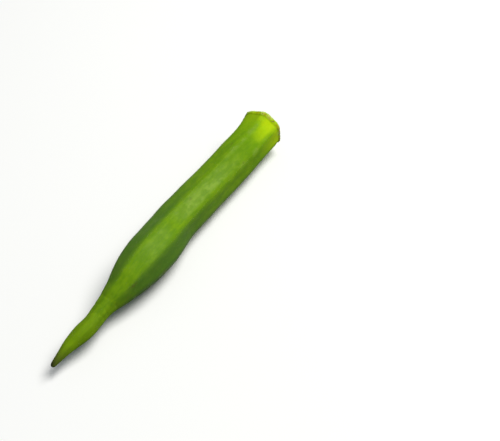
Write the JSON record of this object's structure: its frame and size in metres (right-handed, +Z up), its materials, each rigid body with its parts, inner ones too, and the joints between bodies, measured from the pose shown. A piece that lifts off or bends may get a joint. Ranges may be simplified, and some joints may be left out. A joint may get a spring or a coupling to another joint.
{
  "type": "okra pod",
  "caption": "Fresh whole okra pod lying on one flat face, with a ridged green body, a narrow beak, a flared shoulder and a short cap with a cut stalk stub.",
  "frame": {"origin": "bottom centre of the overall box, on the surface that carries the pod", "axes": "+X along the pod from its tip to its stalk, its longest extent, and +Z up"},
  "size_m": [0.1454, 0.0196, 0.0198],
  "materials": {
    "pod_skin": "natural green plant skin with a soft satin sheen and fine short hairs, brown at the tip and pale at the cut"
  },
  "bodies": {
    "root": {"okra_pod": "pod_skin"}
  },
  "joints": []
}
